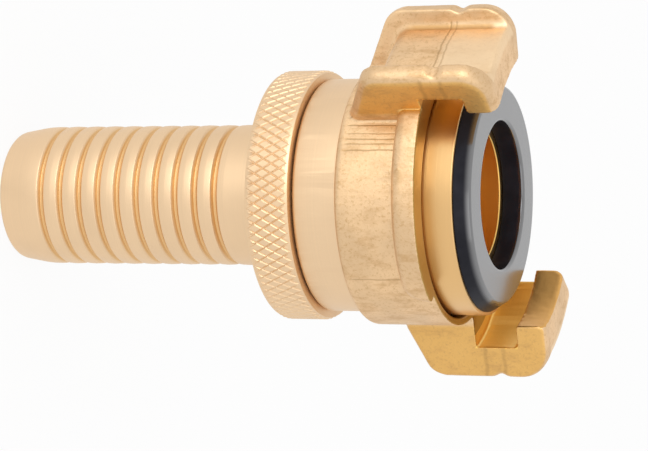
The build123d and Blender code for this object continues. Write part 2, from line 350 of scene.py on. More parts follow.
def turned_brass(looks, name, tone=None, gloss=0.40, grooves=0.000012):
    """Brass from the lathe: fine rings round the axis, with painted shade in the grooves, on the seal
    cup and on the machined front face, painted reflection inside the lips and painted light in the
    waterway.
    """
    tail, head = bpy.context.scene.coupling_tail, bpy.context.scene.coupling_head
    tone = tone or looks.turned
    material, g, shader = new_material(name)
    place, _, _, z, r, _ = g.place()
    rings = g.noise(g.vector(0.0, 0.0, z * 1000.0 + r * 830.0), 3.1, 3.0, 0.6)
    broad = g.noise(place, 130.0, 2.0, 0.5)
    tint = g.mix(rings, shade_of(tone, 0.93), shade_of(tone, 1.05))
    tint = g.mix(g.ramp(broad, 0.45, 0.75, 0.0, 0.35), tint, shade_of(tone, 0.88))
    rim = tail.cup_r + 0.2 * MM
    # Painted shade and reflection of the claw head on the seal cup and inside it; the same mask makes
    # the cup smoother.
    cup = g.above(z, tail.cup_z - 0.35 * MM, 0.25 * MM) * g.below(r, rim, 0.05 * MM)
    # Painted shade and painted reflection on the machined front face of the claw head, a darker copy
    # of its brass.
    face = g.near(z, head.face_z, 0.35 * MM, 0.45 * MM, 0.8) * g.above(r, rim, 0.05 * MM)
    face = face * g.below(r, head.flange_r + 0.4 * MM, 0.1 * MM)
    # Painted reflection of the neighbouring brass inside the lips of the claws.
    lips = g.above(z, head.lip_z, 0.1 * MM) * g.above(r, head.lip_r - 0.9 * MM, 0.1 * MM)
    # Painted light inside the waterway, fading out towards the tail's end.
    bore = g.below(r, tail.mouth_r + 0.225 * MM, 0.075 * MM) * g.above(z, 18 * MM, 12 * MM)
    tint = g.mix(cup * 0.85, tint, looks.groove)
    tint = g.mix(face, tint, shade_of(tone, 0.4))
    tint = g.mix(lips, tint, looks.lip)
    tint = g.mix(bore, tint, looks.bore)
    # Painted shade in the shank's grooves.
    tint = g.mix(groove_mask(g, tail, r, z), tint, looks.groove)
    wire_up(g, shader, {
        "Base Color": tint,
        "Metallic": 1.0,
        "Roughness": gloss + rings * 0.12 - cup * 0.14,
        "Normal": bump(g, rings, grooves),
    })
    return material


def groove_mask(g, tail, r, z):
    """Painted shade in the grooves of the shank: three quarters in them and nothing beside them."""
    last = tail.groove_first + (tail.groove_count - 1) * tail.groove_pitch
    deep = g.below(r, tail.shank_r - 0.29 * MM, 0.11 * MM, 0.75)
    deep = deep * g.above(r, tail.shank_r - 0.725 * MM, 0.025 * MM)
    along = g.above(z, tail.groove_first - 0.8 * MM, 0.2 * MM) * g.below(z, last + 1.48 * MM, 0.5 * MM)
    return deep * along


def cut_brass(looks, name):
    """Brass cut by a tool: deeper in colour and smoother than the forging skin."""
    return turned_brass(looks, name, looks.cut, 0.28, 0.000004)


def forging_lines(g, head, x, y, z, r):
    """Marks that the dies left along the band beside each claw, one where a mark is."""
    waver = g.noise(g.vector(x, y, z * 0.6), 500.0, 2.0, 0.5) - 0.5
    degrees = y.math("ARCTAN2", x) * (180.0 / math.pi) + waver * 1.2
    degrees = degrees.math("FLOORED_MODULO", 180.0)
    marks = 0.0
    for middle, strength in DIE_MARKS:
        marks = g.near(degrees, middle, 0.1, 0.6, strength) + marks
    band = g.below(r, head.band_r + 0.45 * MM, 0.2 * MM) * g.above(z, head.band_z + 1.3 * MM, 0.5 * MM)
    return marks * band * g.below(z, head.face_z - 3.75 * MM, 0.15 * MM)


def parting_lines(g, head, x, y, z, r, turn):
    """The dies' lines across each claw's web and down its ends, one where a line is."""
    waver = (g.noise(g.vector(x, y, 0.0), 600.0, 2.0, 0.5) - 0.5) * 0.0006
    level = z + waver - head.parting_z
    web = g.near(level, -1.2 * MM, 0.05 * MM, 0.2 * MM, 0.5)
    web = web + g.near(level, -0.4 * MM, 0.05 * MM, 0.2 * MM, 0.4)
    web = web * g.above(r, head.web_r - 1.4 * MM, 0.3 * MM)
    web = web * g.below(r, head.web_r + 0.9 * MM, 0.2 * MM)
    web = web * g.below(turn, head.claw_half - 0.0392, 0.005)
    ends = g.near(level, -1.9 * MM, 0.05 * MM, 0.5 * MM, 0.36)
    ends = ends + g.near(level, 0.9 * MM, 0.05 * MM, 0.5 * MM, 0.32)
    ends = ends * g.above(turn, head.claw_half - 0.0112, 0.005) * g.above(r, head.slot_r, 0.2 * MM)
    return web + ends


def forged_brass(looks, name):
    """Forging skin: grainy, stained in the hollows of its grain, with the dies' marks, a paler tone on
    the front of each web, painted shade and reflection on the claws' end faces and painted shade at
    the foot of each rib.
    """
    head = bpy.context.scene.coupling_head
    material, g, shader = new_material(name)
    place, x, y, z, r, turn = g.place()
    grain = g.noise(place, 2300.0, 3.0, 0.7)
    patches = g.noise(g.vector(x, y, z * 0.45), 520.0, 4.0, 0.7)
    broad = g.noise(place, 120.0, 3.0, 0.55)
    lines = forging_lines(g, head, x, y, z, r) + parting_lines(g, head, x, y, z, r, turn)
    # Painted shade and reflection of the neighbouring brass on each claw's end faces.
    ends = g.above(turn, head.claw_half - 0.0082, 0.004, 0.85) * g.above(r, head.lip_r, 0.5 * MM)
    ends = ends * g.below(turn, head.claw_half + 0.0183, 0.0075)
    # Paler tone on the front of each claw's web, mixed in below.
    web = g.above(r, head.web_r - 1.3 * MM, 0.4 * MM) * g.below(r, head.web_r + MM, 0.3 * MM)
    web = web * g.below(turn, head.claw_half - 0.0917, 0.0075)
    front = g.above(z, head.parting_z - 0.8 * MM, 0.9 * MM, 0.6)
    # Painted shade in the crease at the foot of each rib.
    foot = g.near(y.math("ABSOLUTE"), head.rib_foot, 0.2 * MM, 0.6 * MM, 0.85)
    foot = foot * g.above(r, head.web_r - 0.6 * MM, 0.3 * MM)
    foot = foot * g.below(r, head.web_r + 1.1 * MM, 0.2 * MM)
    foot = foot * g.above(z, 65 * MM, MM) * g.below(z, 77.25 * MM, 0.75 * MM)
    tint = g.mix(g.ramp(broad, 0.34, 0.66), shade_of(looks.forged, 0.92), shade_of(looks.forged, 1.08))
    tint = g.mix(ends, tint, looks.sheared)
    tint = g.mix(g.ramp(patches, 0.45, 0.72, 0.0, 0.5), tint, looks.stain)
    tint = g.mix(g.ramp(grain, 0.5, 0.72, 0.0, 0.5), tint, looks.stain)
    tint = g.mix(web * front, tint, looks.fresh)
    tint = g.mix(foot, tint, looks.stain)
    tint = g.mix(lines.math("MINIMUM", 0.8), tint, shade_of(looks.stain, 0.7))
    wire_up(g, shader, {
        "Base Color": tint,
        "Metallic": 1.0,
        "Roughness": 0.42 + patches * 0.14,
        "Normal": bump(g, grain * 0.5 + patches * 0.8 - lines * 0.6, 0.00007),
    })
    return material


def moulded_rubber(looks, name):
    """Black rubber with a faint bloom, and a glossy sealing face."""
    tail, seal = bpy.context.scene.coupling_tail, bpy.context.scene.coupling_seal
    material, g, shader = new_material(name)
    place, _, _, z, _, _ = g.place()
    cloud = g.noise(place, 210.0, 4.0, 0.6)
    grain = g.noise(place, 4200.0, 2.0, 0.5)
    grey = tuple(part * 1.6 + 0.004 for part in looks.rubber)
    wire_up(g, shader, {
        "Base Color": g.mix(g.ramp(cloud, 0.35, 0.75), looks.rubber, grey),
        "Roughness": 0.26 + cloud * 0.14,
        "IOR": 1.22,
        "Coat Weight": g.above(z, tail.cup_front + seal.stand - seal.gloss_depth, 0.45 * MM),
        "Coat IOR": 2.7,
        "Coat Roughness": 0.16,
        "Normal": bump(g, grain, 0.000008),
    })
    return material


def drawn_wire(looks, name):
    """Steel wire with fine drawing marks."""
    material, g, shader = new_material(name)
    marks = g.noise(g.place()[0], 1700.0, 3.0, 0.6)
    tint = g.mix(marks, shade_of(looks.wire, 0.82), looks.wire)
    wire_up(g, shader, {
        "Base Color": tint,
        "Metallic": 1.0,
        "Roughness": 0.28 + marks * 0.2,
        "Normal": bump(g, marks, 0.00001),
    })
    return material


# ---- geometry trees --------------------------------------

def new_tree(name, numbers, counts=()):
    """A geometry tree with named inputs and a material, and its graph and group input node."""
    tree = bpy.data.node_groups.new(name, "GeometryNodeTree")
    tree.interface.new_socket("Geometry", in_out="OUTPUT", socket_type="NodeSocketGeometry")
    kinds = {"Geometry": "Geometry", **dict.fromkeys(numbers, "Float"), **dict.fromkeys(counts, "Int")}
    for label, kind in {**kinds, "Material": "Material"}.items():
        tree.interface.new_socket(label, in_out="INPUT", socket_type="NodeSocket" + kind)
    graph = Graph(tree)
    return tree, graph, graph.node("NodeGroupInput")


def end_tree(graph, geometry):
    """Realizes instances, sets the tree's material and ends the tree."""
    plain = graph.node("GeometryNodeRealizeInstances", {}, {0: geometry})
    start = [n for n in graph.tree.nodes if n.bl_idname == "NodeGroupInput"][0]
    material = Sock(graph, start.outputs["Material"])
    done = graph.node("GeometryNodeSetMaterial", {}, {0: plain, "Material": material})
    graph.node("NodeGroupOutput", {}, {0: done})


def moved(graph, geometry, position):
    return graph.node("GeometryNodeSetPosition", {}, {"Geometry": geometry, "Position": position})


def joined_to(graph, start, geometry):
    """Joins new geometry to what comes into the tree."""
    joined = graph.node("GeometryNodeJoinGeometry", {}, {0: geometry})
    graph.tree.links.new(start.out("Geometry").socket, joined.socket.node.inputs[0])
    return joined


def lathe_tree():
    """Rounds the corners of a closed profile in the XZ plane and turns it about Z."""
    tree, g, start = new_tree("Turn on lathe", (), ("Segments", "Corner steps"))
    line = g.node("GeometryNodeMeshToCurve", {}, {0: start.out("Geometry")})
    corner = g.node("GeometryNodeInputNamedAttribute", {"data_type": "FLOAT"}, {"Name": "round"})
    line = g.node("GeometryNodeFilletCurve", {"mode": "POLY"}, {
        "Curve": line, "Count": start.out("Corner steps"), "Radius": corner, "Limit Radius": True,
    })
    count = g.node("GeometryNodeAttributeDomainSize", {"component": "CURVE"}, {0: line})
    count = count.out("Point Count")
    columns = count + 1
    grid = g.node("GeometryNodeMeshGrid", {}, {
        "Size X": 1.0, "Size Y": 1.0, "Vertices X": start.out("Segments") + 1, "Vertices Y": columns,
    })
    index = g.node("GeometryNodeInputIndex")
    step = (index / columns).math("FLOOR")
    along = (index - step * columns).math("MODULO", count)
    place = g.node("GeometryNodeSampleIndex", {"data_type": "FLOAT_VECTOR", "domain": "POINT"}, {
        0: line, "Value": g.node("GeometryNodeInputPosition"), "Index": along,
    })
    radius, _, height = g.xyz(place)
    turn = step * math.tau / start.out("Segments")
    ring = moved(g, grid, g.vector(radius * turn.math("COSINE"), radius * turn.math("SINE"), height))
    ring = g.node("GeometryNodeMergeByDistance", {}, {0: ring, "Distance": 0.000001})
    end_tree(g, ring)
    return tree


def knurl_tree():
    """Covers a band round Z with raised diamonds, trimmed to the band's width."""
    sizes = ("Radius", "Width", "Middle", "Depth", "Top", "Chamfer", "Angle")
    tree, g, start = new_tree("Knurl", sizes, ("Grooves",))
    spread, sink = 0.505, 1.15      # of a diamond over its neighbours and under the surface
    radius, width, depth = start.out("Radius"), start.out("Width"), start.out("Depth")
    across = radius * math.tau / start.out("Grooves")
    tall = across / start.out("Angle").math("TANGENT")
    rows = (width / tall * 2.0).math("CEIL") + 2
    index = g.node("GeometryNodeInputIndex")
    row = (index / start.out("Grooves")).math("FLOOR")
    column = index - row * start.out("Grooves")
    x = (column + row.math("MODULO", 2.0) * 0.5) * across
    y = (row - (rows - 1) / 2) * tall / 2
    points = g.node("GeometryNodePoints", {}, {
        "Count": rows * start.out("Grooves"), "Position": g.vector(x, y, 0.0),
    })
    diamond = g.node("GeometryNodeMeshCone", {}, {
        "Vertices": 4, "Side Segments": 4, "Radius Top": start.out("Top"),
        "Radius Bottom": 1.0, "Depth": 1.0,
    })
    part = g.xyz(g.node("GeometryNodeInputPosition"))
    crown = (part[2] * math.pi / 2).math("SINE")
    diamond = moved(g, diamond, g.vector(part[0], part[1], crown))
    size = g.vector(across * spread, tall * spread, depth * sink)
    band = {"Points": points, "Instance": diamond, "Scale": size}
    band = g.node("GeometryNodeInstanceOnPoints", {}, band)
    band = g.node("GeometryNodeRealizeInstances", {}, {0: band})
    x, y, up = g.xyz(g.node("GeometryNodeInputPosition"))
    edge = width * 0.5
    y = y.math("MINIMUM", edge).math("MAXIMUM", -edge)
    rim = y.math("ABSOLUTE") - (edge - start.out("Chamfer"))
    r = (radius - depth * sink + up).math("MINIMUM", radius - rim.math("MAXIMUM", 0.0))
    turn = x / radius
    wrapped = g.vector(r * turn.math("COSINE"), r * turn.math("SINE"), y + start.out("Middle"))
    band = moved(g, band, wrapped)
    end_tree(g, joined_to(g, start, band))
    return tree


def thread_tree():
    """Winds a right-hand thread of sixty degree section round a core."""
    sizes = ("Crest radius", "Pitch", "Depth", "From", "To")
    tree, g, start = new_tree("Thread", sizes)
    pitch, depth = start.out("Pitch"), start.out("Depth")
    height = start.out("To") - start.out("From") - pitch
    middle = start.out("Crest radius") - depth
    helix = g.node("GeometryNodeCurveSpiral", {}, {
        "Resolution": 72, "Rotations": height / pitch, "Start Radius": middle, "End Radius": middle,
        "Height": height, "Reverse": False,
    })
    lift = g.vector(0.0, 0.0, start.out("From") + pitch * 0.5)
    helix = g.node("GeometryNodeSetPosition", {}, {"Geometry": helix, "Offset": lift})
    helix = g.node("GeometryNodeSetCurveNormal", {"mode": "Z_UP"}, {0: helix})
    section = g.node("GeometryNodeCurvePrimitiveCircle", {"mode": "RADIUS"}, {
        "Resolution": 3, "Radius": depth,
    })
    ridge = {"Curve": helix, "Profile Curve": section, "Fill Caps": True}
    ridge = g.node("GeometryNodeCurveToMesh", {}, ridge)
    end_tree(g, joined_to(g, start, ridge))
    return tree


def dents_tree():
    """Presses shallow dents into a mesh, where its skin attribute allows."""
    tree, g, start = new_tree("Forging dents", ("Depth", "Size"))
    place = g.node("GeometryNodeInputPosition")
    scale = 1.0 / start.out("Size")
    broad = g.noise(place, scale, 3.0, 0.55)
    small = g.noise(place, scale * 3.4, 1.0, 0.5)
    skin = g.node("GeometryNodeInputNamedAttribute", {"data_type": "FLOAT"}, {"Name": "skin"})
    deep = (broad * 0.7 + small * 0.3) * start.out("Depth") * skin
    inward = g.node("ShaderNodeVectorMath", {"operation": "SCALE"}, {
        0: g.node("GeometryNodeInputNormal"), "Scale": -deep,
    })
    dented = {"Geometry": start.out("Geometry"), "Offset": inward}
    dented = g.node("GeometryNodeSetPosition", {}, dented)
    end_tree(g, dented)
    return tree


def add_tree(piece, tree, values):
    """Puts a geometry tree on a piece and sets its inputs by identifier."""
    modifier = piece.modifiers.new(tree.name, "NODES")
    modifier.node_group = tree
    for item in tree.interface.items_tree:
        if item.in_out == "INPUT" and item.name in values:
            modifier[item.identifier] = values[item.name]


# ---- meshes ----------------------------------------------

def put_mesh(name, mesh):
    piece = bpy.data.objects.new(name, mesh)
    bpy.context.scene.collection.objects.link(piece)
    return piece


def made_plain(piece):
    """Replaces a piece's modifiers by the plain mesh they give."""
    bpy.context.view_layer.update()
    graph = bpy.context.evaluated_depsgraph_get()
    mesh = bpy.data.meshes.new_from_object(piece.evaluated_get(graph))
    piece.modifiers.clear()
    piece.data = mesh
    return piece


def face_outwards(piece):
    """Merges doubles and points every face out of the closed mesh."""
    work = bmesh.new()
    work.from_mesh(piece.data)
    bmesh.ops.remove_doubles(work, verts=work.verts, dist=1e-7)
    bmesh.ops.dissolve_degenerate(work, edges=work.edges, dist=1e-7)
    bmesh.ops.recalc_face_normals(work, faces=work.faces)
    work.to_mesh(piece.data)
    work.free()
    piece.data.update()


def weighted_normals(piece):
    """Keeps flat faces flat in light, with the rounding left to the small faces."""
    piece.data.shade_smooth()
    modifier = piece.modifiers.new("Weighted normals", "WEIGHTED_NORMAL")
    modifier.mode = "FACE_AREA"
    modifier.keep_sharp = True
    return made_plain(piece)


def turned_piece(name, profile, material, steps=4):
    """A piece of revolution, from (radius, height, corner rounding) points in metres."""
    mesh = bpy.data.meshes.new(name)
    count = len(profile)
    edges = [(i, (i + 1) % count) for i in range(count)]
    mesh.from_pydata([(r, 0.0, z) for r, z, _ in profile], edges, [])
    corner = mesh.attributes.new("round", "FLOAT", "POINT")
    corner.data.foreach_set("value", [max(point[2], 1e-7) for point in profile])
    piece = put_mesh(name, mesh)
    tree = bpy.data.node_groups.get("Turn on lathe") or lathe_tree()
    add_tree(piece, tree, {"Segments": LATHE_SEGMENTS, "Corner steps": steps, "Material": material})
    made_plain(piece)
    face_outwards(piece)
    return piece


def dress(piece, body, slot, *nodes):
    """Hangs a piece on its body, in place of its solids."""
    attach(piece, body)
    if nodes:
        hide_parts(*nodes)


# ---- pieces ----------------------------------------------

def finish(make):
    """The material that a function makes, made the first time it is asked for."""
    name = "coupling_" + make.__name__
    return bpy.data.materials.get(name) or make(bpy.context.scene.coupling_finishes, name)


class COUPLING_OT_tail(Operator):
    """Turn the hose tail with its grooves, neck and seal cup"""

    bl_idname = "coupling.tail"
    bl_label = "Hose tail"

    def execute(self, context):
        s = context.scene.coupling_tail
        e = s.edge
        half = s.groove_width / 2
        flat = 0.35 * half
        middle_r = s.shank_r - s.groove_depth
        outline = [(s.bore_r, 0.0, e), (s.end_r, 0.0, s.end_round), (s.shank_r, s.cone, s.cone_round)]
        shoulder = s.shank_r - s.land_crown
        for i in range(s.groove_count):
            z = s.groove_first + i * s.groove_pitch
            outline += [
                (shoulder, z - half, 2 * e),
                (middle_r, z - flat, 1.5 * e),
                (middle_r, z + flat, 1.5 * e),
                (shoulder, z + half, 2 * e),
                (s.shank_r, z + s.groove_pitch / 2, 0.8 * s.groove_pitch),
            ]
        outline += [
            (s.shank_r, s.shank, 0.0),
            (s.neck_r, s.shank, e),
            (s.neck_r, s.wire_z - s.wire_half, e),
            (s.wire_floor, s.wire_z - s.wire_half, 0.0),
            (s.wire_floor, s.wire_z + s.wire_half, 0.0),
            (s.neck_r, s.wire_z + s.wire_half, e),
            (s.neck_r, s.shoulder_z, 0.0),
            (s.shoulder_r, s.shoulder_z, e),
            (s.shoulder_r, s.cup_z, 0.0),
            (s.cup_r, s.cup_z, 2 * e),
            (s.cup_r, s.cup_front, 1.5 * e),
            (s.seat_r, s.cup_front, e),
            (s.seat_r, s.cup_front - s.seat_depth, 0.0),
            (s.land_r, s.cup_front - s.seat_depth, 0.0),
            (s.land_r, s.land_z, e),
            (s.mouth_r, s.land_z, 2 * e),
            (s.mouth_r, s.land_z - s.mouth_depth, 0.0),
            (s.bore_r, s.land_z - s.mouth_depth - s.mouth_taper, 0.0),
        ]
        piece = turned_piece("turned_tail", outline, finish(turned_brass))
        dress(weighted_normals(piece), "tail", "turned_brass", "hose_tail")
        return {"FINISHED"}


class COUPLING_OT_seal(Operator):
    """Mould the form seal"""

    bl_idname = "coupling.seal"
    bl_label = "Form seal"

    def execute(self, context):
        s = context.scene.coupling_seal
        tail = context.scene.coupling_tail
        outline = [
            (s.bore_r, s.land_z, s.edge / 2),
            (s.root_in, s.land_z, 0.0),
            (s.root_in, s.root_z, 0.0),
            (s.root_out, s.root_z, 0.0),
            (s.root_out, tail.cup_front, 0.0),
            (s.rim_r, tail.cup_front, s.edge / 5),
            (s.face_r, tail.cup_front + s.stand, s.edge),
            (s.bore_r, tail.cup_front + s.stand, s.edge),
        ]
        piece = turned_piece("moulded_seal", outline, finish(moulded_rubber), steps=6)
        dress(weighted_normals(piece), "tail", "black_rubber", "form_seal")
        return {"FINISHED"}


class COUPLING_OT_ring(Operator):
    """Turn, knurl and thread the locking ring"""

    bl_idname = "coupling.ring"
    bl_label = "Locking ring"

    def execute(self, context):
        s = context.scene.coupling_ring
        e = s.edge
        core_r = s.ring_r - s.knurl_depth
        front = s.rear + s.width
        root_r = s.hub_r - s.thread_depth
        floor_z = s.rear + s.pocket
        outline = [
            (s.pocket_r, s.rear, e),
            (core_r - e, s.rear, e),
            (core_r, s.rear + s.chamfer, e),
            (core_r, front - s.chamfer, e),
            (core_r - e, front, e),
            (root_r, front, 0.0),
            (root_r, s.hub_front - e, e),
            (root_r - s.thread_depth, s.hub_front, e),
            (s.bore_r, s.hub_front, e),
            (s.bore_r, floor_z, e),
            (s.pocket_r, floor_z, 0.0),
        ]
        material = finish(turned_brass)
        piece = turned_piece("knurled_ring", outline, material)
        add_tree(piece, knurl_tree(), {
            "Radius": s.ring_r, "Width": s.width, "Middle": s.rear + s.width / 2,
            "Depth": s.knurl_depth, "Top": s.knurl_top, "Chamfer": s.chamfer,
            "Grooves": s.knurl_count, "Angle": s.knurl_angle, "Material": material,
        })
        add_tree(piece, thread_tree(), {
            "Crest radius": s.hub_r, "Pitch": s.thread_pitch, "Depth": s.thread_depth, "From": front,
            "To": s.hub_front, "Material": material,
        })
        made_plain(piece)
        face_outwards(piece)
        piece.data.shade_flat()
        dress(piece, "locking_ring", "turned_brass", "locking_ring")
        return {"FINISHED"}


def as_arrays(mesh):
    """Corners and edges of a mesh as arrays."""
    points = np.empty(len(mesh.vertices) * 3)
    mesh.vertices.foreach_get("co", points)
    edges = np.empty(len(mesh.edges) * 2, int)
    mesh.edges.foreach_get("vertices", edges)
    return points.reshape(-1, 3), edges.reshape(-1, 2)


def softened(points, edges, weight, steps):
    """Points after smoothing steps, each drawn towards its neighbours by its own weight."""
    count = np.bincount(edges.ravel(), minlength=len(points)).astype(float)[:, None]
    count[count == 0] = 1
    for _ in range(steps):
        total = np.zeros_like(points)
        for axis in range(3):
            total[:, axis] = np.bincount(edges[:, 0], points[edges[:, 1], axis], len(points))
            total[:, axis] += np.bincount(edges[:, 1], points[edges[:, 0], axis], len(points))
        points = points + weight[:, None] * (total / count - points) * 0.5
    return points


class COUPLING_OT_head(Operator):
    """Forge the claw head round its machined bore and faces"""

    bl_idname = "coupling.head"
    bl_label = "Claw head"

    def execute(self, context):
        s = context.scene.coupling_head
        blank = put_mesh("forged_head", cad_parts["claw_head"].data.copy())
        face_outwards(blank)
        remesh = blank.modifiers.new("Grain", "REMESH")
        remesh.mode = "VOXEL"
        remesh.voxel_size = s.grain
        remesh.use_smooth_shade = True
        made_plain(blank)
        points, edges = as_arrays(blank.data)
        self.deepen_mark(s, points)
        self.sharpen_ends(s, points)
        self.taper_flanges(s, points)
        skin = self.forged_share(s, points)
        points = softened(points, edges, skin, s.soft_steps)
        blank.data.vertices.foreach_set("co", points.ravel())
        blank.data.attributes.new("skin", "FLOAT", "POINT").data.foreach_set("value", skin)
        blank.data.update()
        add_tree(blank, dents_tree(), {
            "Depth": s.dent, "Size": s.dent_size, "Material": finish(forged_brass),
        })
        thin = blank.modifiers.new("Thin out", "DECIMATE")
        thin.ratio = min(1.0, HEAD_TRIANGLES / (2 * len(blank.data.polygons)))
        made_plain(blank)
        blank.data.attributes.remove(blank.data.attributes["skin"])
        blank.data.shade_smooth()
        blank.data.materials.clear()
        self.paint(s, blank.data)
        dress(blank, "claw_head", "forged_brass", "claw_head")
        return {"FINISHED"}

    def deepen_mark(self, s, points):
        """Cuts the middle of the dies' mark round the ribs a little deeper."""
        r = np.hypot(points[:, 0], points[:, 1])
        off = np.abs(points[:, 2] - s.parting_z) / (s.parting / 2)
        fade_from, fade = s.crest_r - 0.8 * MM, 0.3 * MM
        share = np.clip((r - fade_from) / fade, 0, 1)
        deep = s.parting_depth * np.clip(1 - off, 0, 1) * share
        points[:, :2] *= (1 - deep / np.maximum(r, MM))[:, None]

    def outside_of(self, s, r, z, back_z):
        """How far points stand outside a claw's outline: its front rounding, crest, knee or back."""
        sin, cos = math.sin(s.back_slope), math.cos(s.back_slope)
        bend = s.back_round
        knee_r = s.crest_r - bend
        start_z = s.top_z - s.lip_round
        front = np.hypot(np.maximum(r - s.crest_r + s.lip_round, 0), np.maximum(z - start_z, 0))
        outside = np.where(z > start_z, front - s.lip_round, r - s.crest_r)
        knee = np.hypot(r - knee_r, z - back_z) - bend
        back = (r - s.band_r) * cos - (z - s.foot_z) * sin
        knee_lean = 0.46        # close to the lean of the back that the knee runs into
        on_knee = r > knee_r + (back_z - z) * knee_lean
        return np.where(z < back_z, np.where(on_knee, knee, back), outside)

    def sharpen_ends(self, s, points):
        """Fills out the rounded outer corner of each claw's end beside no flange."""
        most = 1.25             # growth at the corner itself
        side = np.where(points[:, 0] < 0, -1.0, 1.0)
        x, y, z = points[:, 0] * side, points[:, 1] * side, points[:, 2]
        r = np.hypot(x, y)
        into = x * math.sin(s.claw_half) + y * math.cos(s.claw_half)
        sin, cos = math.sin(s.back_slope), math.cos(s.back_slope)
        back_z = s.foot_z + ((s.crest_r - s.back_round - s.band_r) * cos + s.back_round) / sin
        u = s.corner - into
        v = s.corner + self.outside_of(s, r, z, back_z)
        turn = np.arctan2(v, u)
        full = np.minimum(1 / np.maximum(np.cos(turn), np.sin(turn)), most)
        foot_r, foot_fade = s.band_r + 0.4 * MM, 1.5 * MM
        corner = (u > 0) & (v > 0) & (into > -0.1 * MM) & (r > foot_r)
        notch_z, notch = s.parting_z + 0.2 * MM, 0.7 * MM
        unmarked = 1 - np.exp(-((z - notch_z) / notch) ** 2)
        root = np.clip((r - foot_r) / foot_fade, 0, 1)
        grow = np.where(corner, (full - 1) * unmarked * root, 0.0)
        slope = np.clip((z - (s.top_z - s.lip_round)) / s.lip_round, 0, 1)
        lean = np.clip((back_z - z) / MM, 0, 1)
        dr = v * grow * np.sqrt(np.maximum(1 - slope ** 2, 0)) * (1 - lean * (1 - cos))
        dz = v * grow * (slope - lean * sin)
        x += dr * x / r - u * grow * math.sin(s.claw_half)
        y += dr * y / r - u * grow * math.cos(s.claw_half)
        points[:, 0] = x * side
        points[:, 1] = y * side
        points[:, 2] = np.minimum(z + dz, s.top_z)

    def taper_flanges(self, s, points):
        """Draws each cam flange in from its claw to its lead-in."""
        r = np.hypot(points[:, 0], points[:, 1])
        turn = np.degrees(np.arctan2(points[:, 1], points[:, 0])) % 180
        places, growths = zip(*FLANGE_GROWTH)
        rise = np.interp(turn, places, growths) * MM
        share = np.clip((r - s.band_r) / (s.flange_r - s.band_r), 0, 1)
        height = points[:, 2] - s.face_z
        touch, reach = 0.1 * MM, 6 * MM
        flange = (r < s.flange_r + touch) & (height > -reach) & (height < touch)
        points[:, :2] *= (1 + np.where(flange, rise * share, 0) / np.maximum(r, MM))[:, None]

    def forged_share(self, s, points):
        """One on the forged skin and nothing on what was machined, for each point."""
        flange_share, lip_share = 0.35, 0.8
        touch = 0.15 * MM
        r = np.hypot(points[:, 0], points[:, 1])
        z = points[:, 2]
        turn = np.abs(np.arctan2(points[:, 1], np.abs(points[:, 0])))
        share = np.ones(len(r))
        flange = (r > s.band_r + 0.3 * MM) & (r < s.flange_r + 0.3 * MM) & (turn > s.claw_half + 0.04)
        share[flange & (z > s.face_z - s.flange_back)] = flange_share
        share[r < s.band_r - 0.6 * MM] = 0.0
        share[z < s.band_z + 0.2 * MM] = 0.0
        share[(np.abs(z - s.face_z) < touch) & (r < s.slot_r)] = 0.0
        share[(r < s.slot_r + touch) & (z > s.face_z - 0.1 * MM) & (z < s.lip_z + touch)] = 0.0
        share[(r < s.lip_r + touch) & (z < s.lip_z)] = 0.0
        share[np.hypot(r - s.lip_r, z - s.lip_z) < 0.5 * MM] = lip_share
        return share

    def paint(self, s, mesh):
        """Gives each face its finish: forged skin, cut face or turned collar."""
        for make in (forged_brass, cut_brass, turned_brass):
            mesh.materials.append(finish(make))
        centre, normal = (np.empty(len(mesh.polygons) * 3) for _ in range(2))
        mesh.polygons.foreach_get("center", centre)
        mesh.polygons.foreach_get("normal", normal)
        centre, normal = centre.reshape(-1, 3), normal.reshape(-1, 3)
        r, z = np.hypot(centre[:, 0], centre[:, 1]), centre[:, 2]
        touch, lip_top = 0.1 * MM, s.lip_z + 0.05 * MM
        bored = r < s.band_r - 0.5 * MM
        faced = (np.abs(z - s.face_z) < 0.12 * MM) & (normal[:, 2] > 0.9)
        slot = (r < s.slot_r + touch) & (z > s.face_z - touch)
        inward = (normal[:, 0] * centre[:, 0] + normal[:, 1] * centre[:, 1]) / r < -0.6
        lips = inward & (r < s.lip_r + 0.6 * MM) & (z > s.lip_z - touch)
        kind = np.zeros(len(r), int)
        kind[((bored | faced | slot) & (z < lip_top)) | lips] = 1
        kind[z < s.band_z + 0.02 * MM] = 2
        mesh.polygons.foreach_set("material_index", kind)
        mesh.update()


class COUPLING_OT_wire(Operator):
    """Give the snap ring its drawn steel finish"""

    bl_idname = "coupling.wire"
    bl_label = "Snap ring"

    def execute(self, context):
        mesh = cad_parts["snap_ring"].data
        mesh.materials.clear()
        mesh.materials.append(finish(drawn_wire))
        return {"FINISHED"}


# ---- stage -----------------------------------------------

def plain_material(name, tone, rough):
    """A pale surface that the camera and reflections see a little brighter than it is lit."""
    material, g, shader = new_material(name)
    wire_up(g, shader, {"Base Color": (*tone, 1.0), "Roughness": rough})
    path = g.node("ShaderNodeLightPath")
    seen = path.out("Is Camera Ray").math("MAXIMUM", path.out("Is Glossy Ray"))
    seen = seen.math("MAXIMUM", path.out("Is Transmission Ray"))
    glow = g.node("ShaderNodeEmission", {}, {"Color": WHITE, "Strength": 1.0})
    mixed = g.node("ShaderNodeMixShader", {}, {0: seen * 0.9, 2: glow})
    g.tree.links.new(shader.outputs[0], mixed.socket.node.inputs[1])
    output = [n for n in g.tree.nodes if n.bl_idname == "ShaderNodeOutputMaterial"][0]
    g.tree.links.new(mixed.socket, output.inputs["Surface"])
    return material


def lamp(name, place, target, width, height, power):
    """A soft area lamp that looks at a point."""
    data = bpy.data.lights.new(name, "AREA")
    data.shape = "RECTANGLE"
    data.size = width
    data.size_y = height
    data.energy = power
    made = bpy.data.objects.new(name, data)
    bpy.context.scene.collection.objects.link(made)
    made.location = place
    made.rotation_euler = (target - place).to_track_quat("-Z", "Y").to_euler()


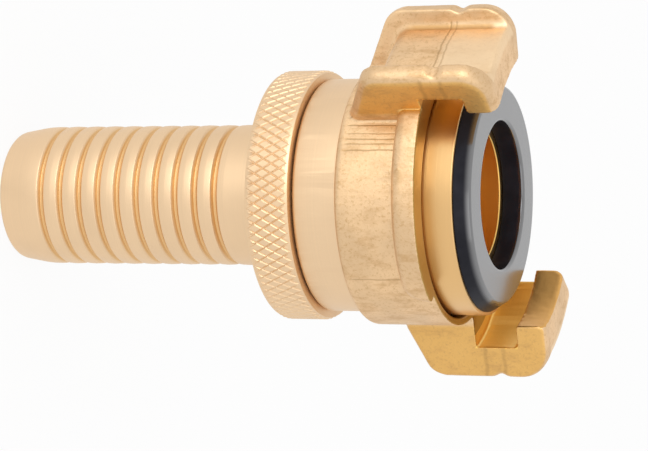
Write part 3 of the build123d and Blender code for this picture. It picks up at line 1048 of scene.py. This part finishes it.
class COUPLING_OT_stage(Operator):
    """Set the floor, the lamps, the surroundings and the camera"""

    bl_idname = "coupling.stage"
    bl_label = "Stage"

    def execute(self, context):
        s = context.scene.coupling_stage
        scene = context.scene
        scene.view_settings.view_transform = "Standard"
        self.floor(s)
        self.surroundings(s, scene)
        middle = AXIS * 0.04
        lamp("key", middle + ABOVE * 0.3 + TOWARDS * 0.5 + AXIS * 0.08, middle, 0.5, 0.22, s.key)
        lamp("fill", middle - ABOVE * 0.25 + TOWARDS * 0.5 + AXIS * 0.35, middle, 0.5, 0.5, s.fill)
        self.camera(s, scene)
        return {"FINISHED"}

    def floor(self, s):
        mesh = bpy.data.meshes.new("floor")
        half = 2.5
        corners = [(-half, -half, 0.0), (half, -half, 0.0), (half, half, 0.0), (-half, half, 0.0)]
        mesh.from_pydata(corners, [], [(0, 1, 2, 3)])
        mesh.materials.append(plain_material("pale_floor", tuple(s.floor), 0.9))
        put_mesh("floor", mesh)

    def surroundings(self, s, scene):
        world = bpy.data.worlds.new("surroundings")
        scene.world = world
        world.use_nodes = True
        g = Graph(world.node_tree)
        g.tree.nodes.clear()
        path = g.node("ShaderNodeLightPath")
        lit = g.node("ShaderNodeBackground", {}, {"Color": WHITE, "Strength": s.world})
        white = g.node("ShaderNodeBackground", {}, {"Color": WHITE, "Strength": 1.0})
        both = g.node("ShaderNodeMixShader", {}, {0: path.out("Is Camera Ray"), 1: lit, 2: white})
        g.node("ShaderNodeOutputWorld", {}, {0: both})

    def camera(self, s, scene):
        data = bpy.data.cameras.new("camera")
        data.lens = s.lens
        data.sensor_width = 36.0
        data.clip_start = 0.01
        view = bpy.data.objects.new("camera", data)
        scene.collection.objects.link(view)
        look = -(AXIS * 0.3511 + TOWARDS * 0.9363 + ABOVE * 0.0114).normalized()
        right = (AXIS * 0.9363 - TOWARDS * 0.3511).normalized()
        right = (right - look * right.dot(look)).normalized()
        up = right.cross(look)
        turn = Matrix((right, up, -look)).transposed()
        view.matrix_world = Matrix.Translation(TOWARDS * 0.3652 + AXIS * 0.18516) @ turn.to_4x4()
        scene.camera = view


class COUPLING_PT_panel(Panel):
    """Buttons and sizes of the hose coupling"""

    bl_idname = "COUPLING_PT_panel"
    bl_label = "Hose coupling"
    bl_space_type = "VIEW_3D"
    bl_region_type = "UI"
    bl_category = "Coupling"

    def draw(self, context):
        for key, group in GROUPS.items():
            box = self.layout.box()
            box.label(text=key.replace("coupling_", "").capitalize())
            owner = getattr(context.scene, key)
            for name in group.__annotations__:
                box.prop(owner, name)
        for step in STEPS:
            self.layout.operator(step.bl_idname)


GROUPS = {
    "coupling_tail": CouplingTailSizes,
    "coupling_seal": CouplingSealSizes,
    "coupling_ring": CouplingRingSizes,
    "coupling_head": CouplingHeadSizes,
    "coupling_finishes": CouplingFinishes,
    "coupling_stage": CouplingStage,
}
STEPS = (
    COUPLING_OT_tail,
    COUPLING_OT_seal,
    COUPLING_OT_ring,
    COUPLING_OT_head,
    COUPLING_OT_wire,
    COUPLING_OT_stage,
)


def register():
    for group in GROUPS.values():
        bpy.utils.register_class(group)
    for key, group in GROUPS.items():
        setattr(bpy.types.Scene, key, PointerProperty(type=group))
    for made in (*STEPS, COUPLING_PT_panel):
        bpy.utils.register_class(made)


def unregister():
    for made in (COUPLING_PT_panel, *reversed(STEPS)):
        bpy.utils.unregister_class(made)
    for key in GROUPS:
        delattr(bpy.types.Scene, key)
    for group in reversed(GROUPS.values()):
        bpy.utils.unregister_class(group)


def main():
    register()
    for step in STEPS:
        group, name = step.bl_idname.split(".")
        getattr(getattr(bpy.ops, group), name)()


if __name__ == "__main__":
    main()
